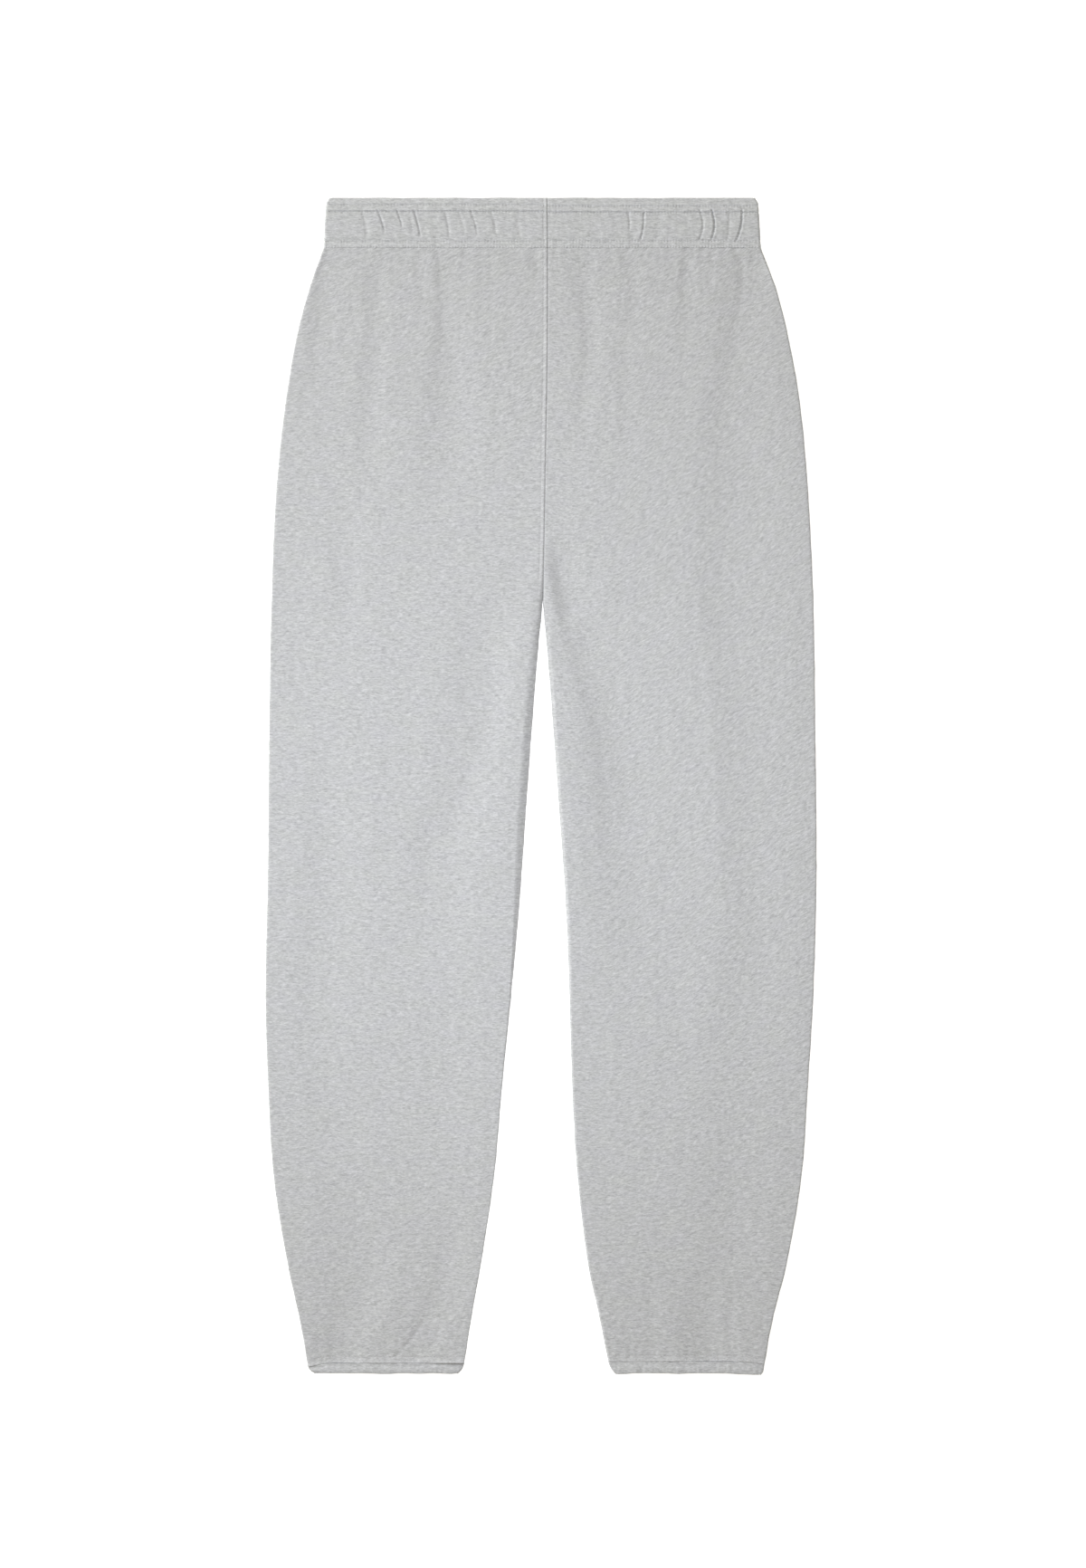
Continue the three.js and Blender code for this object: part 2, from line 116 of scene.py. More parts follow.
# folds from the top down, each row: x, y, width of the left and the right flank, lift
broadFolds = [
    {"runOut": 50, "rows": [(-87, 470, 10, 30, -0.6), (-87, 440, 9, 30, -0.8), (-84, 400, 14, 30, -1.2),
                            (-80, 344, 32, 34, -1.8), (-80, 304, 36, 36, -1.7), (-80, 264, 36, 36, -0.6)]},
    {"runOut": 30, "rows": [(-146, 440, 16, 14, -0.8), (-144, 400, 15, 14, -0.9), (-151, 344, 20, 16, -0.9),
                            (-150, 304, 22, 16, -0.8), (-152, 270, 24, 18, -0.4)]},
    {"runOut": 30, "rows": [(-190, 462, 12, 30, -0.7), (-194, 424, 12, 36, -0.9), (-200, 350, 15, 36, -0.7)]},
    {"runOut": 20, "rows": [(43, 474, 24, 12, -0.7), (40, 452, 22, 12, -0.7), (42, 424, 14, 12, -0.9),
                            (46, 396, 16, 14, -0.7), (43, 376, 15, 14, -0.8), (38, 344, 13, 15, -0.8),
                            (37, 326, 13, 14, -0.5)]},
    {"runOut": 25, "rows": [(80, 474, 12, 12, -0.35), (83, 424, 11, 10, -0.6), (76, 384, 14, 14, -0.3),
                            (75, 300, 12, 16, -0.3)]},
    {"runOut": 20, "rows": [(130, 474, 10, 9, -0.7), (128, 424, 9, 14, -0.5), (128, 405, 9, 14, -0.3)]},
    # the long fold down the right leg
    {"runOut": 50, "rows": [(187, 474, 32, 24, -1.3), (184, 440, 32, 30, -1.4), (177, 410, 28, 34, -1.3),
                            (174, 384, 26, 36, -1.3), (169, 344, 32, 56, -1.3), (165, 304, 34, 60, -1.6),
                            (170, 264, 38, 60, -1.4), (168, 224, 38, 60, -1.4), (170, 160, 38, 60, -1.4),
                            (174, 110, 38, 60, -1.3), (180, 50, 40, 56, -1.2), (184, 0, 40, 50, -1.2),
                            (184, -60, 40, 50, -1.1), (191, -115, 40, 46, -0.9), (184, -180, 38, 50, -1.1),
                            (182, -240, 40, 50, -0.8), (176, -300, 40, 50, -0.6), (172, -341, 40, 50, -1.0),
                            (168, -381, 40, 46, -1.2), (166, -410, 34, 40, -1.1), (168, -435, 34, 40, -0.8)]},
    # the right leg sinks beside its raised inseam
    {"runOut": 16, "rows": [(14, 206, 10, 30, -1.1), (19, 184, 15, 50, -2.2), (29, 158, 20, 60, -2.2)]},
    {"runOut": 50, "rows": [(56, 150, 44, 100, -1.4), (66, 122, 52, 100, -1.4), (78, 62, 58, 96, -1.8),
                            (85, 0, 60, 96, -1.9), (88, -57, 60, 100, -1.6), (95, -115, 60, 90, -1.2),
                            (95, -180, 56, 90, -0.3)]},
    {"runOut": 40, "rows": [(6, 150, 30, 24, 0.2), (9, 122, 34, 46, 0.9), (17, 62, 40, 58, 2.5),
                            (23, 0, 40, 60, 2.8), (28, -57, 40, 58, 2.1), (32, -115, 40, 60, 1.4),
                            (36, -180, 40, 60, 0.5)]},
    # the left leg rises to its inseam and rolls over
    {"runOut": 60, "rows": [(-2, 165, 24, 60, 0.5), (-8, 122, 34, 60, 1.2), (-14, 62, 38, 60, 1.5),
                            (-21, 0, 46, 60, 1.6), (-28, -57, 52, 60, 1.6), (-30, -115, 58, 60, 1.5),
                            (-34, -180, 60, 50, 1.3), (-38, -260, 60, 50, 1.3), (-44, -340, 60, 50, 1.6),
                            (-53, -410, 50, 40, 1.5), (-61, -460, 40, 30, 1.3), (-69, -505, 34, 24, 1.0)]},
    {"runOut": 60, "rows": [(-46, 130, 46, 26, -1.4), (-52, 62, 50, 32, -1.5), (-66, 0, 40, 34, -1.4),
                            (-92, -57, 36, 40, -1.2), (-98, -115, 34, 40, -0.8)]},
    # shallow folds along the left leg's outside
    {"runOut": 30, "rows": [(-170, 240, 24, 26, -0.8), (-171, 184, 22, 20, -1.0), (-172, 140, 26, 24, -0.5)]},
    {"runOut": 50, "rows": [(-186, -20, 34, 40, -0.9), (-190, -115, 34, 40, -1.1), (-198, -180, 32, 40, -1.1),
                            (-197, -240, 30, 40, -1.1), (-176, -300, 34, 34, -0.9)]},
    # ankles
    {"runOut": 50, "rows": [(-168, -381, 44, 34, -1.2), (-160, -411, 48, 40, -1.8),
                            (-160, -441, 50, 40, -2.0), (-165, -466, 44, 34, -1.9),
                            (-174, -486, 32, 30, -1.7), (-177, -508, 26, 26, -1.5)]},
    {"runOut": 40, "rows": [(-82, -400, 16, 24, -0.8), (-84, -441, 20, 26, -1.0), (-94, -466, 18, 26, -0.8),
                            (-106, -486, 16, 24, -0.8), (-115, -503, 14, 20, -0.7)]},
    {"runOut": 30, "rows": [(150, -441, 38, 26, -1.0), (147, -466, 31, 26, -1.6), (148, -486, 32, 28, -1.9),
                            (150, -508, 32, 28, -1.8)]},
    {"runOut": 25, "rows": [(98, -440, 10, 10, -0.35), (98, -508, 9, 10, -0.4)]},
    {"runOut": 80, "rows": [(-158, 235, 38, 38, 0.3), (-158, -20, 38, 38, 0.5)]},
]
# creases that are finer than the solids hold
fineCreases = [
    {"runOut": 20, "rows": [(-90, 470, 3.6, 2.6, -0.25), (-89, 440, 4, 3, -0.28), (-87, 405, 4, 4, -0.12)]},
    {"runOut": 12, "rows": [(173, 472, 6, 3, -0.3), (180, 459, 6, 4, -0.4), (177, 430, 6, 6, -0.35),
                            (170, 400, 6, 6, -0.25)]},
    {"runOut": 10, "rows": [(151, 464, 4, 4, -0.25), (150, 446, 4, 4, -0.2)]},
    {"runOut": 12, "rows": [(-43, 462, 4, 6, -0.22), (-43, 430, 4, 6, -0.12)]},
    {"runOut": 10, "rows": [(-4, 472, 5, 4, -0.4), (-4, 444, 5, 4, -0.25)]},
    {"runOut": 12, "rows": [(-108, 462, 5, 8, -0.25), (-107, 425, 5, 8, -0.2)]},
    {"runOut": 12, "rows": [(38, 440, 4, 5, -0.1), (38, 415, 4, 5, -0.2), (41, 385, 4, 5, -0.15)]},
    {"runOut": 12, "rows": [(126, 466, 5, 4, -0.15), (125, 440, 5, 4, -0.12)]},
    {"runOut": 12, "rows": [(72, 450, 4, 4, -0.15), (70, 420, 4, 4, -0.25)]},
    {"runOut": 7, "rows": [(-103.9, -473.6, 3, 3, -0.35), (-113.5, -488, 3, 3, -0.4),
                           (-128.7, -504, 3, 3, -0.4)]},
    {"runOut": 8, "rows": [(-90.3, -481.6, 3, 3, -0.3), (-94.3, -493.6, 3, 3, -0.35),
                           (-110.3, -503, 3, 3, -0.3)]},
    {"runOut": 10, "rows": [(-184, -480, 6, 5, -0.25), (-184, -506, 6, 5, -0.25)]},
    {"runOut": 12, "rows": [(168, -456, 8, 10, -0.5), (169, -508, 8, 10, -0.7)]},
    {"runOut": 20, "rows": [(16, 190, 10, 30, -0.6), (22, 160, 12, 40, -1.0), (32, 122, 15, 50, -1.5),
                            (52, 62, 16, 50, -0.8), (58, 0, 14, 50, -0.5), (64, -57, 14, 40, -0.2)]},
]
# dents of the front, which lies on the surface: they rise into the cloth
frontDents = [
    {"runOut": 40, "rows": [(-142, 476, 12, 12, 0.8), (-140, 380, 12, 12, 0.8)]},
    {"runOut": 35, "rows": [(-62, 476, 10, 10, 0.7), (-66, 400, 10, 10, 0.7)]},
    {"runOut": 40, "rows": [(58, 476, 11, 11, 0.8), (61, 390, 11, 11, 0.8)]},
    {"runOut": 30, "rows": [(112, 476, 9, 9, 0.6), (109, 420, 9, 9, 0.6)]},
    {"runOut": 60, "rows": [(172, 476, 14, 14, 0.9), (163, 390, 14, 20, 0.9), (158, 250, 14, 24, 0.7)]},
    {"runOut": 45, "rows": [(-12, 205, 10, 14, 0.7), (-38, 110, 14, 18, 0.7), (-52, 0, 16, 20, 0.6)]},
    {"runOut": 45, "rows": [(16, 200, 10, 13, 0.4), (40, 90, 13, 16, 0.4), (52, -30, 14, 18, 0.4)]},
    {"runOut": 70, "rows": [(-168, 40, 22, 30, 0.5), (-160, -150, 22, 30, 0.5)]},
    {"runOut": 70, "rows": [(140, -60, 22, 30, 0.4), (146, -260, 22, 30, 0.5)]},
    {"runOut": 40, "rows": [(-170, -400, 10, 14, 0.6), (-165, -508, 10, 12, 0.8)]},
    {"runOut": 40, "rows": [(-112, -420, 9, 12, 0.6), (-106, -508, 9, 10, 0.7)]},
    {"runOut": 40, "rows": [(104, -410, 9, 12, 0.7), (98, -508, 9, 10, 0.8)]},
    {"runOut": 40, "rows": [(166, -430, 9, 12, 0.6), (160, -508, 9, 10, 0.7)]},
]


def foldLift(folds, x, y):  # deepest trough and highest ridge at each point
    trough, ridge = np.zeros_like(x), np.zeros_like(x)
    for fold in folds:
        xs, ys, lefts, rights, lifts = np.array(fold["rows"][::-1], float).T
        off = (x - np.interp(y, ys, xs)) / np.sqrt(1 + np.interp(y, ys, np.gradient(xs, ys)) ** 2)
        width = np.where(off < 0, np.interp(y, ys, lefts), np.interp(y, ys, rights))
        past = np.maximum(ys[0] - y, y - ys[-1]).clip(0)
        lift = np.interp(y, ys, lifts) * hump(np.hypot(off / width, past / fold["runOut"]))
        trough = np.minimum(trough, lift)
        ridge = np.maximum(ridge, lift)
    return trough + ridge


legFinish = {
    "cloth": 2.2,
    "columnStep": 1.6, "rowStep": 4.5,  # mesh spacing
    "frontStep": 5,
    "seamGroove": 0.52, "seamGrooveWidth": 0.35,
    "allowanceLift": 0.38, "stitchInset": 3.8,
    "crumple": 0.22,  # height of the soft unevenness
    "gatherLift": 0.32,
    "waistLift": 0.32, "waistLiftReach": 10,  # the cloth rises a little to the waist seam
    "foldsAtWaist": 0.25, "foldsReach": 20,  # share of the folds left at the waist seam
    "width": 228,  # that the columns are counted over
    "ankleDip": {-1: 3, 1: 2}, "dipReach": 20,  # the ankle seam sinks towards its outer end
    "ankleShift": {-1: -0.4, 1: 1.0},  # where the ankle seam has settled
    "ankleRows": [2.0, 5.6],  # needle rows above the ankle seam
    "ankleRidge": {-1: 0.75, 1: 0.6},
}


def legEdges(side, y):
    seam = np.where(y > cut["crotchY"], follow(centreSeam, y), follow(inseam[side], y))
    turn = 1 - smooth((y - cut["crotchY"]) / cut["crotchBlend"])  # 1 folded at the inseam, 0 butted
    waver = cut["edgeWaver"] * (cloud(y / 16, side, 20) + 0.6 * cloud(y / 5, side, 21))
    inner = seam + side * cut["seamGap"] / 2 + turn * cut["edgeWaver"] * cloud(y / 14, side, 22)
    return inner, follow(sideSeam[side], y) + waver, follow(edgeRoll, y), turn


def centreSeamRelief(fromSeam, side):  # dark seam line, pressed allowance and its needle row
    lift = -legFinish["seamGroove"] * bell(fromSeam / legFinish["seamGrooveWidth"])
    if side < 0:
        ridge = smooth((fromSeam - 0.1) / 1.4) * (1 - smooth((fromSeam - 1.2) / 2.4))
        row = bell((fromSeam - legFinish["stitchInset"]) / 0.45)
        lift = lift + legFinish["allowanceLift"] * ridge - 0.25 * row
    return lift


def ankleRelief(side, above):  # raised double-sewn band over a sunk seam line
    ridge = legFinish["ankleRidge"][side] * bell((above - 0.7) / 1.9)
    rows = sum(bell((above - row) / 0.5) for row in legFinish["ankleRows"])
    return ridge - 0.2 * rows - 0.12 * bell(above / 0.5)


def backTop(side, x, y):  # height of the back's outside before its edges turn down
    inner, outer, roll, turn = legEdges(side, y)
    fromInner = side * (x - inner)
    fromOuter = side * (outer - x)
    fade = smooth(fromOuter / (roll * cut["outerSqueeze"] + cut["edgeFade"]))
    innerFade = smooth(fromInner / (roll * follow(innerSqueeze[side], y) + follow(cut["innerFade"][side], y)))
    fade = fade * (turn * innerFade + 1 - turn)
    below = cut["waistY"] - y
    above = y - cut["ankleY"]
    atWaist = legFinish["foldsAtWaist"]
    shown = atWaist + (1 - atWaist) * smooth(below / legFinish["foldsReach"])
    lift = foldLift(broadFolds, x, y) * shown + foldLift(fineCreases, x, y)
    lift = lift + legFinish["crumple"] * (cloud(x / 34, y / 60, 1) + 0.5 * cloud(x / 12, y / 21, 2))
    gather = cloud(x / 5, y / 60, 3) * bell(below / 15) + cloud(x / 4, y / 45, 4) * bell((above - 8) / 11)
    lift = lift + legFinish["gatherLift"] * gather
    rise = legFinish["waistLift"] * bell(below / legFinish["waistLiftReach"])
    top = 2 * roll + lift * fade + rise + ankleRelief(side, above)
    return top + centreSeamRelief(fromInner, side) * (1 - turn)


def frontDent(side, x, y):  # how far the front's outside rises from the surface
    inner, outer, roll, turn = legEdges(side, y)
    fade = smooth((side * (outer - x) - roll) / cut["edgeFade"])
    dent = foldLift(frontDents, x, y) * fade
    dent = dent + 0.15 * (1 + cloud(x / 30, y / 50, 8)) * fade
    above = y - cut["ankleY"]
    dent = dent + 0.5 * bell((cut["waistY"] - y) / 0.8) + 0.35 * bell(above / 0.7)
    dent = dent + 0.3 * sum(bell((above - row) / 0.6) for row in legFinish["ankleRows"])
    fromInner = side * (x - inner)
    groove = 0.7 * bell(fromInner / 0.6) + (0.3 * bell((fromInner - 4.2) / 0.6) if side < 0 else 0)
    return dent + groove * (1 - turn)


def spread(start, stops):  # mesh places from start through (end, step) stops
    places = [start]
    for end, step in stops:
        count = max(1, round(abs(end - places[-1]) / step))
        places += list(np.linspace(places[-1], end, count + 1)[1:])
    return np.array(places)


# a mesh from create_grid whose columns and rows are given their places by shape(i, j)
def gridPiece(name, columnCount, rowCount, shape, thickness):
    bm = bmesh.new()
    bmesh.ops.create_grid(bm, x_segments=columnCount - 1, y_segments=rowCount - 1, size=1)
    mesh = bpy.data.meshes.new(name)
    bm.to_mesh(mesh)
    bm.free()
    flat = np.empty(len(mesh.vertices) * 3)
    mesh.vertices.foreach_get("co", flat)
    flat = flat.reshape(-1, 3)
    i = np.rint((flat[:, 0] + 1) / 2 * (columnCount - 1)).astype(int)
    j = np.rint((flat[:, 1] + 1) / 2 * (rowCount - 1)).astype(int)
    places, grain = shape(i, j)
    mesh.vertices.foreach_set("co", (places * mm).ravel())
    corners = np.empty(len(mesh.loops), int)
    mesh.loops.foreach_get("vertex_index", corners)
    mesh.uv_layers.new(name="grain").uv.foreach_set("vector", (grain[corners] * mm).ravel())
    mesh.shade_smooth()
    piece = bpy.data.objects.new(name, mesh)
    bpy.context.scene.collection.objects.link(piece)
    wall = piece.modifiers.new("wall", "SOLIDIFY")
    wall.thickness = thickness * mm
    wall.offset = -1
    wall.use_even_offset = False
    return piece


grainLine = {
    # slope of the courses
    "leftTilt": [(476, 0.36), (400, 0.32), (290, 0.08), (200, 0.03), (0, 0.0), (-510, 0.05)],
    "rightTilt": [(476, 0.46), (300, 0.52), (100, 0.5), (-100, 0.42), (-300, 0.2), (-450, 0.03), (-510, 0.0)],
    "rightStart": 10, "rightReach": 90,  # level beside the centre seam, tilting within this reach
    "waver": 1.6,
}


def legGrain(side, x, y):  # along and across the courses of the knit
    waver = grainLine["waver"] * (cloud(x / 34, y / 26, 30) + 0.4 * cloud(x / 12, y / 12, 31))
    if side < 0:
        tilt = follow(grainLine["leftTilt"], y)
        sag = 5 * np.sin((x + 240) / 240 * np.pi) * smooth((y - 150) / 250)
        return np.stack([x, y - tilt * (x + 120) + sag + waver], 1)
    tilt = follow(grainLine["rightTilt"], y)
    t = ((x - grainLine["rightStart"]) / grainLine["rightReach"]).clip(0)
    run = grainLine["rightReach"] * np.where(t < 1, t ** 3 - t ** 4 / 2, t - 0.5)
    return np.stack([x * np.sqrt(1 + tilt ** 2), y - tilt * (run - 60) + waver], 1)


# a leg's outside at height y: share across, offset from the inner edge, and how far either edge has turned
def legPoint(side, back, y, innerTurn, outerTurn, offset, share, reach):
    inner, outer, roll, turn = legEdges(side, y)
    innerAngle, outerAngle = innerTurn * np.pi / 2, outerTurn * np.pi / 2
    bulge = roll * cut["outerSqueeze"]
    innerBulge = roll * follow(innerSqueeze[side], y)
    width = np.abs(outer - inner) - innerBulge - bulge - reach
    fromEdge = innerBulge * (1 - np.sin(innerAngle)) + offset + width * share + bulge * np.sin(outerAngle)
    x = inner + side * fromEdge
    drop = turn * roll * (1 - np.cos(innerAngle)) + roll * (1 - np.cos(outerAngle))
    gap = cut["seamGap"] / 2 * np.maximum(turn * (innerTurn > 0.98), outerTurn > 0.98)
    z = backTop(side, x, y) - drop + gap if back else frontDent(side, x, y) * (1 - outerTurn) + drop - gap
    end = np.abs(follow(sideSeam[side], cut["ankleY"]))
    dip = legFinish["ankleDip"][side] * smooth((np.abs(x) - end) / legFinish["dipReach"] + 1)
    sunk = y + (legFinish["ankleShift"][side] - dip) * smooth((cut["ankleY"] + 22 - y) / 20)
    return np.stack([x, sunk, z], 1)


def legPiece(name, side, back):
    columnStep, rowStep = [legFinish[key if back else "frontStep"] for key in ("columnStep", "rowStep")]
    quarter = np.linspace(0, 1, 8 if back else 6)
    near = [0.3, 0.6, 1.0, 1.5, 2.1, 2.8, 3.5, 4.2, 4.9, 5.8]
    # each column: how far the inner and the outer edge have turned, offset from the inner edge, share across
    columns = [(1 - q, 0, 0, 0) for q in quarter]
    columns += [(0, 0, offset, 0) for offset in near]
    across = np.linspace(0, 1, round(legFinish["width"] / columnStep))
    columns += [(0, 0, near[-1], share) for share in across[1:]]
    columns += [(0, q, near[-1], 1) for q in quarter[1:]]
    columns = np.array(columns if (side > 0) == back else columns[::-1])
    last = cut["ankleY"] + cut["buttGap"] / 2
    first = cut["waistY"] - cut["buttGap"] / 2
    stops = [(-502, 0.5), (-472, 1.5), (-440, 2.4), (430, rowStep), (470, 2), (first, 0.6)]
    rows = spread(last, stops if back else [(-502, 0.7), (470, rowStep), (first, 0.8)])

    def shape(i, j):
        places = legPoint(side, back, rows[j], *columns[i].T, near[-1])
        return places, legGrain(side, places[:, 0], rows[j])

    return gridPiece(name, len(columns), len(rows), shape, legFinish["cloth"])


# waistband: one dictionary for the casing, heights above the waist seam
band = {
    "cloth": 3.9, "hollow": 0.6, "shell": 1.6, "corner": 7,
    "edge": {-1: [(520, -190.2), (476, -192.7)], 1: [(520, 192.2), (476, 194.7)]},
    # each needle row: its height on the left half and on the right half, depth
    "stitchRows": [(0.9, 0.9, 0.05), (5.6, 5.9, 0.45), (32.0, 31.2, 0.38), (38.0, 36.8, 0.45)],
    "channel": (6.8, 32.4),
    "turnUnder": 16,  # how far the folded edge runs down inside
    "grooveWidth": 0.65, "puff": 0.45, "pucker": 0.14, "puckerPitch": 2.6, "puckerReach": 1.5,
    "tube": (0.32, 0.75),  # puff between the two lower and the two upper rows
    "gather": 0.75,
    "topRoll": 0.9,  # how much the top edge rounds off
    "columnStep": 0.65,
    "width": 182,  # that the columns are counted over
    # columns beside the centre seam
    "near": [0, 0.12, 0.3, 0.55, 0.85, 1.2, 1.7, 2.3, 3, 3.7, 4.2, 4.7, 5.8],
}
# each gather: x at the channel's top and foot, sideways bow, width, depth, lowest and highest share shown
gathers = [
    (-158, -154, 1, 1.4, 0.5, 0.1, 1), (-144, -138, 1.5, 0.8, 1.3, 0.3, 1.06),
    (-127, -121, 1.2, 0.7, 1.2, 0.5, 1.06), (-115.5, -113, 0, 1.4, 0.4, 0.1, 0.8),
    (-112, -106, 0.5, 0.75, 1.3, 0.15, 1.06), (-97, -93, 1, 3.0, 0.4, 0, 1),
    (-85, -81, 1, 1.3, 0.7, 0.1, 0.95), (-73, -67, 1.5, 1.6, 0.5, 0.1, 1),
    (-62, -56, 1.5, 1.0, 0.8, 0.2, 1.05),
    (-44, -39, 1, 1.3, 0.6, 0.2, 1.03), (-22, -18, 0, 1.8, 0.4, 0.1, 1), (77, 76, 2, 1.0, 0.8, 0.35, 1.0),
    (91, 88, 1.2, 0.8, 1.1, 0, 1), (104, 103, 0, 3.0, 0.3, 0, 1), (141, 140, 3, 1.0, 0.9, 0, 1.06),
    (151.5, 150.5, 2.6, 0.75, 1.6, 0, 1.06), (166, 165, 1, 1.4, 0.6, 0, 1),
    (178, 173, 1.6, 0.75, 1.6, 0, 1.06),
]
frontGathers = [
    (-171, -168, 1, 1.2, 0.8, 0, 1), (-149, -147, 2, 0.9, 0.9, 0.2, 1), (-128, -123, 1, 1.5, 0.6, 0, 0.9),
    (-102, -99, 1, 0.9, 0.9, 0.1, 1), (-84, -82, 0, 2.0, 0.5, 0, 1), (-57, -52, 1, 1.1, 0.8, 0.2, 1),
    (-31, -29, 0, 1.8, 0.5, 0, 0.8), (38, 36, 1, 1.3, 0.7, 0, 1), (63, 62, 0, 1.8, 0.5, 0, 1),
    (86, 82, 1, 0.9, 0.9, 0.1, 1), (119, 118, 2, 1.3, 0.6, 0, 1), (137, 133, 1, 0.9, 0.9, 0, 0.9),
    (160, 158, 1, 1.4, 0.7, 0, 1),
]


def bandRelief(table, x, h):  # lift of the casing's outside at x and height h
    low, high = band["channel"]
    share = (h - low) / (high - low)
    inside = smooth(share / 0.12) * smooth((1 - share) / 0.12)
    lift = band["puff"] * inside + 0.25 * cloud(x / 9, h / 40, 5) * inside + 0.12 * cloud(x / 4, h / 16, 6)
    onRight = smooth((x - 5) / 30 + 0.5)
    rows = [left + (right - left) * onRight for left, right, groove in band["stitchRows"]]
    for k, (row, (left, right, groove)) in enumerate(zip(rows, band["stitchRows"])):
        beat = np.sin(2 * np.pi * (x + 0.9 * cloud(x / 15, k, 12)) / band["puckerPitch"])
        uneven = (1 + 1.6 * cloud(x / 9, k, 13)).clip(0.2)
        lift = lift - groove * (1 + 0.7 * cloud(x / 14, k, 14)) * bell((h - row) / band["grooveWidth"])
        lift = lift - band["pucker"] * uneven * beat * bell((h - row) / band["puckerReach"])
    for puff, (foot, head) in zip(band["tube"], ((rows[0] - 1.9, rows[1]), rows[2:])):  # fullest at the foot
        lift = lift + puff * smooth((h - foot) / 1.4) * smooth((head - h) / 4.4)
    lift = lift - band["topRoll"] * smooth((h - rows[3] - 1.2) / 5)
    for topX, footX, bow, width, depth, start, end in table:
        middle = footX + (topX - footX) * share + bow * np.sin(np.pi * share.clip(-0.1, 1.1))
        shown = smooth((share - start + 0.1) / 0.2) * smooth((end + 0.06 - share) / 0.12)
        off = (x - middle) / width
        lift = lift - band["gather"] * depth * shown * (bell(off) - 0.12 * bell((np.abs(off) - 2.6) / 1.8))
    fromSeam = np.abs(x - follow(centreSeam, h + cut["waistY"])) - cut["seamGap"] / 2
    isLeft = x < follow(centreSeam, h + cut["waistY"])
    return lift + np.where(isLeft, centreSeamRelief(fromSeam, -1), centreSeamRelief(fromSeam, 1))


roundedShare = 0.87  # of a corner's arc; the rest would turn back along the edge


def cornerInset(radius, toEnd):
    reach = np.clip(roundedShare * radius - toEnd, 0, radius)
    return radius - np.sqrt(radius ** 2 - reach ** 2)


# a casing's profile from its seam over the fold to the turned-in edge: height and depth
def casingProfile(height, cloth, rows, turnUnder):
    radius = cloth / 2
    profile = [(h, 0.0) for h in rows if h < height - radius]
    fold = height - radius * cut["squeeze"]
    for angle in np.linspace(0, math.pi, 9):
        profile.append((fold + (height - fold) * math.sin(angle), radius - radius * math.cos(angle)))
    profile += [(fold - down, cloth) for down in np.linspace(0, turnUnder, 5)[1:]]
    return np.array(profile)


# the waistband's outside: how far the side fold has turned, offset from the centre seam, share across,
# and 1 on the front
def bandPoint(side, h, depth, foldTurn, offset, share, onFront):
    halfHeight = band["cloth"] + band["hollow"] / 2
    y = cut["waistY"] + h
    waver = 0.25 * cloud(h / 6, side, 23)
    seam = follow(centreSeam, y) + side * cut["seamGap"] / 2
    edge = follow(band["edge"][side], y) + waver
    bulge = halfHeight * cut["squeeze"]
    edge = edge - side * (bulge + cornerInset(band["corner"], cut["topY"] - y))
    x = seam + side * offset + (edge - seam - side * band["near"][-1]) * share
    outX, outZ = np.sin(foldTurn * np.pi), np.cos(foldTurn * np.pi)
    rounding = 1 - smooth(depth / (band["cloth"] * 0.5))
    back = bandRelief(gathers, x + side * outX * bulge, h) * (1 + outZ) / 2
    front = (bandRelief(frontGathers, x, h) - band["puff"] - 0.3).clip(-1.6, 0) * (1 - outZ) / 2
    radius = halfHeight - depth + (back + front) * rounding
    topWaver = 0.3 * cloud(x / 22, onFront, 24) * smooth(h / 40) * smooth((1 - share) * 12)
    across = x + side * outX * radius * cut["squeeze"]
    return np.stack([across, y + topWaver, halfHeight + outZ * radius], 1)


def bandColumns(step, frontStep):
    near = band["near"]
    reach = near[-1]
    columns = [(0, offset, 0, 0) for offset in near]
    columns += [(0, reach, share, 0) for share in np.linspace(0, 1, round(band["width"] / step))[1:]]
    columns += [(turn, reach, 1, 0) for turn in np.linspace(0, 1, 13)[1:]]
    columns += [(1, reach, share, 1) for share in np.linspace(1, 0, round(band["width"] / frontStep))[1:]]
    columns += [(1, offset, 0, 1) for offset in near[-2::-1]]
    return np.array(columns)


def bandPiece(name, side):
    height = cut["topY"] - cut["waistY"]
    rows = spread(cut["buttGap"] / 2, [(8, 0.45), (31, 1.1), (39.5, 0.45), (height, 0.6)])
    profile = casingProfile(height, band["cloth"], rows, band["turnUnder"])
    columns = bandColumns(band["columnStep"], 2)
    columns = columns if side > 0 else columns[::-1]

    def shape(i, j):
        h, depth = profile[j].T
        places = bandPoint(side, h, depth, *columns[i].T)
        along = places[:, 0] * np.where(columns[i, 3] > 0, -1, 1)
        waver = 0.8 * cloud(places[:, 0] / 30, h / 20, 32)
        return places, np.stack([along, cut["waistY"] + h + depth + waver], 1)

    return gridPiece(name, len(columns), len(profile), shape, band["shell"])


